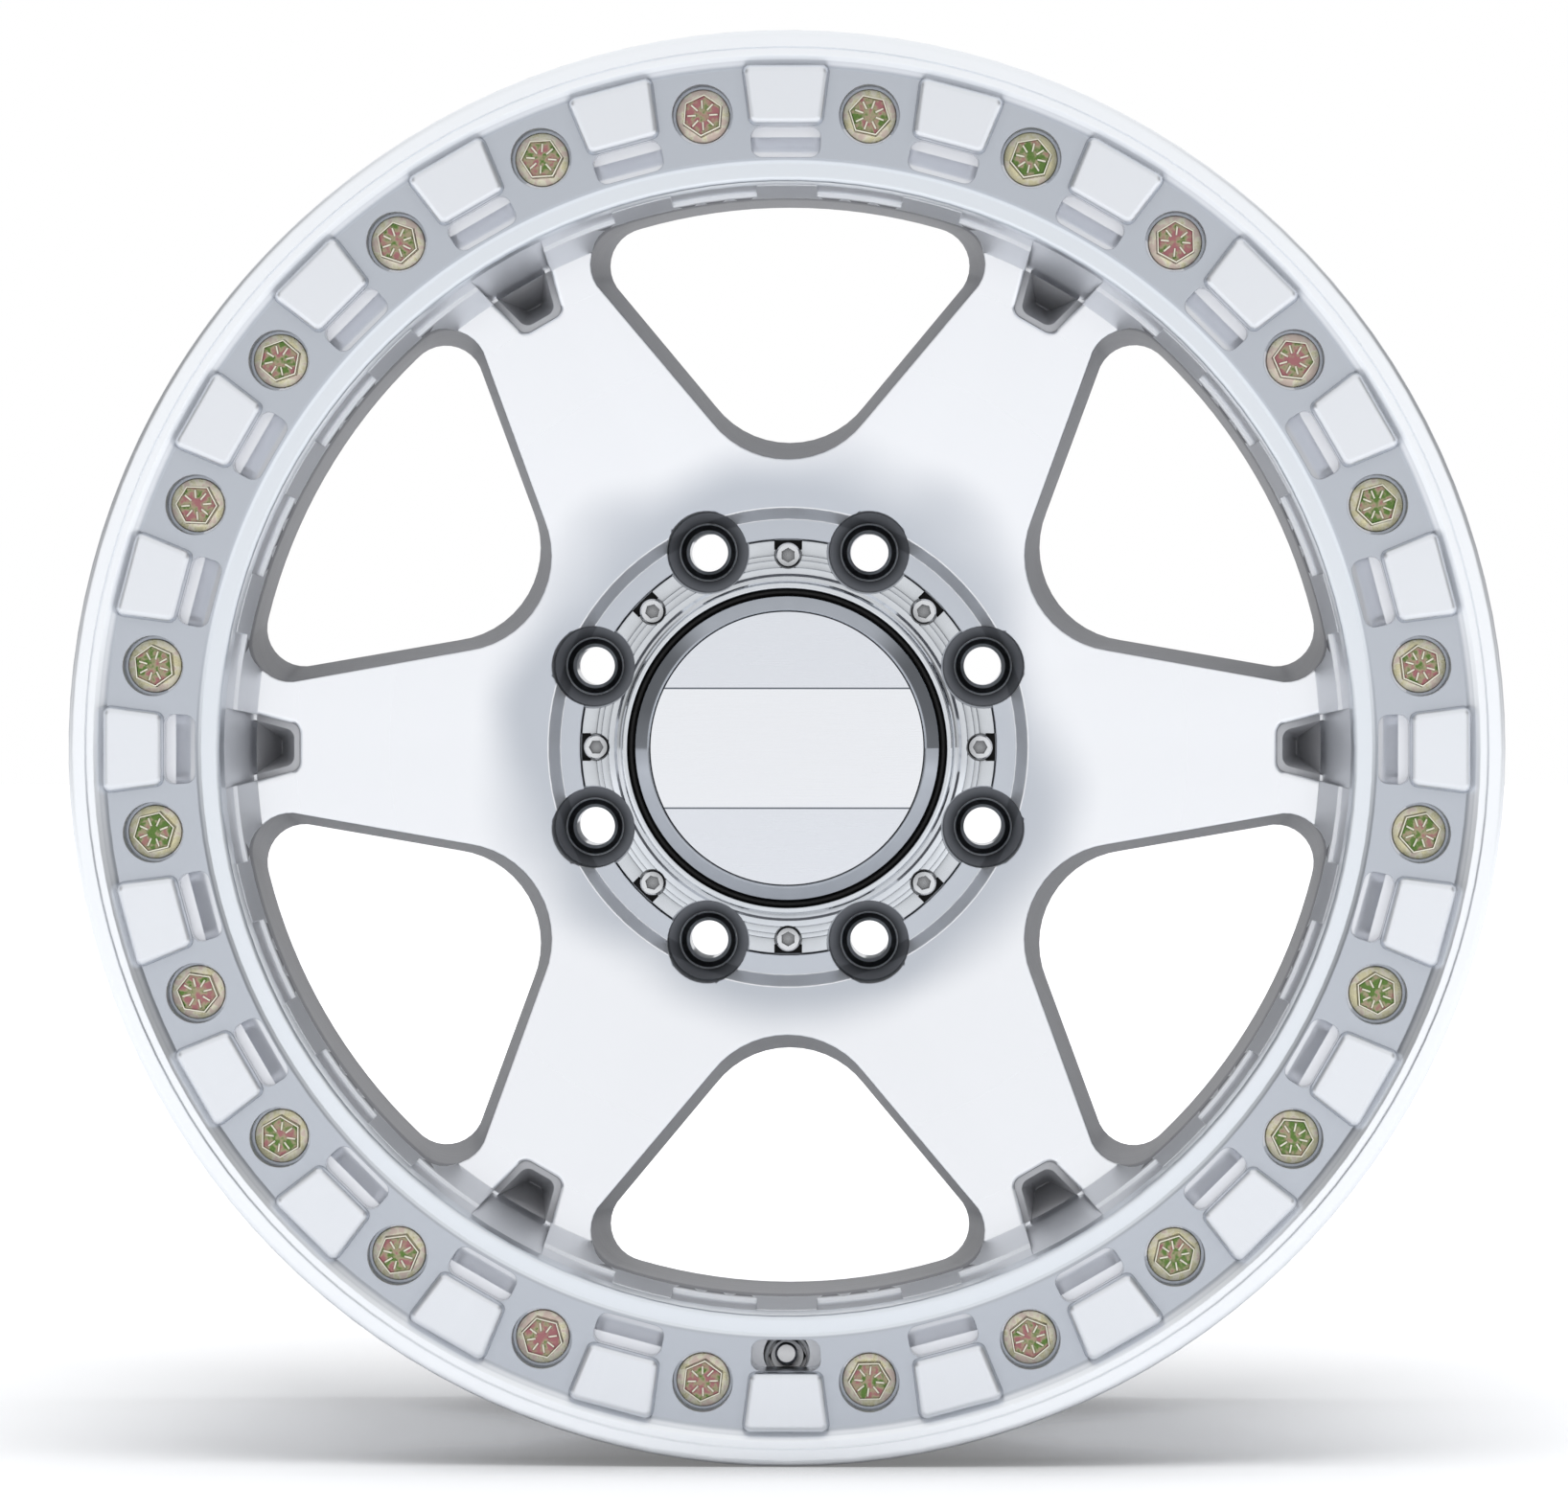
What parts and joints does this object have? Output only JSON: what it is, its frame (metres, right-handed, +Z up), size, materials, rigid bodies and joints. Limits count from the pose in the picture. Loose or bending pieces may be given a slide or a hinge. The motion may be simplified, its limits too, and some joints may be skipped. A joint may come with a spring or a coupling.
{
  "type": "beadlock wheel",
  "caption": "Cast six-spoke beadlock wheel with a bolted clamp ring that holds the tyre's outer bead, a bolt-on hub cap and a clamp-in valve.",
  "frame": {"origin": "centre of the hub pad's rear face, on the wheel's axle line", "axes": "+Y along the axle towards the vehicle, so the street side faces -Y; +Z up and +X to the right as seen from the street side, with the valve at the bottom"},
  "size_m": [0.5509, 0.2563, 0.551],
  "materials": {
    "raw_aluminium": "machined and cast, uncoated",
    "machined_ring": "machined, uncoated",
    "zinc_bolt": "yellow zinc plated",
    "insert_steel": "plain",
    "chrome": "bright chrome",
    "brushed_plate": "fine brushed",
    "black_rubber": "matte",
    "stem_metal": "nickel plated",
    "core_brass": "plain",
    "red_rubber": "matte"
  },
  "bodies": {
    "wheel": {"wheel_body": "raw_aluminium", "clamp_ring": "machined_ring", "clamp_bolts": "zinc_bolt", "thread_inserts": "insert_steel", "cap_collar": "chrome", "cap_gasket": "black_rubber", "cap_screws": "chrome", "cap_insert": "chrome", "cap_seal": "black_rubber", "cap_plate": "brushed_plate", "valve_stem": "stem_metal", "valve_grommet": "black_rubber", "valve_washer": "stem_metal", "valve_nut": "stem_metal", "valve_core": "core_brass", "valve_core_seal": "red_rubber", "valve_spring": "insert_steel"},
    "cap": {"valve_cap": "stem_metal", "valve_cap_seal": "black_rubber"},
    "pin": {"valve_pin": "core_brass", "valve_pin_cup": "red_rubber"}
  },
  "joints": [
    {"name": "valve_cap_removal", "type": "slide", "parent": "wheel", "child": "cap", "axis": [0, -0.9903, 0.1392], "range_m": [0, 0.01]},
    {"name": "valve_pin_press", "type": "slide", "parent": "wheel", "child": "pin", "axis": [0, 0.9903, -0.1392], "range_m": [0, 0.001], "stiffness_N_per_m": 300}
  ]
}
